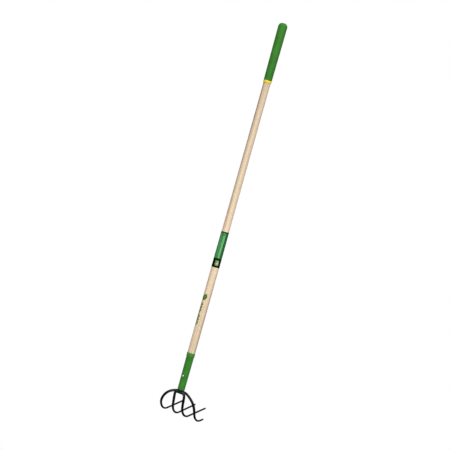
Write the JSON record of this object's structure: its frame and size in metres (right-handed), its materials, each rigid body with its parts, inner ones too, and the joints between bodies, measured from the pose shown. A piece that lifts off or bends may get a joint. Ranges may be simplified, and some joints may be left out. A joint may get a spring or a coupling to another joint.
{
  "type": "hand cultivator",
  "caption": "Long-handled garden cultivator with hooked steel tines on a riveted ferrule, a wooden pole and a cushioned end grip.",
  "frame": {"origin": "on the tool's long axis, at the middle of the grip's length", "axes": "+Z along the handle away from the tines, +X across the row of tines, +Y the way the tines hook forward"},
  "size_m": [0.1638, 0.1868, 1.5051],
  "materials": {
    "wood": "clear lacquered ash",
    "soft_grip": "semi-matte soft vinyl",
    "ring_plastic": "satin",
    "label_film": "printed film, semi-gloss",
    "green_paint": "gloss enamel",
    "black_paint": "gloss enamel",
    "bright_steel": "bare"
  },
  "bodies": {
    "root": {"handle": "wood", "grip": "soft_grip", "grip_ring": "ring_plastic", "label_sleeve": "label_film", "ferrule": "green_paint", "ferrule_rivet": "bright_steel", "tang": "black_paint", "outer_tine_bow": "black_paint", "inner_tine_bow": "black_paint", "upper_weld_left": "black_paint", "upper_weld_right": "black_paint", "lower_weld": "black_paint"}
  },
  "joints": []
}
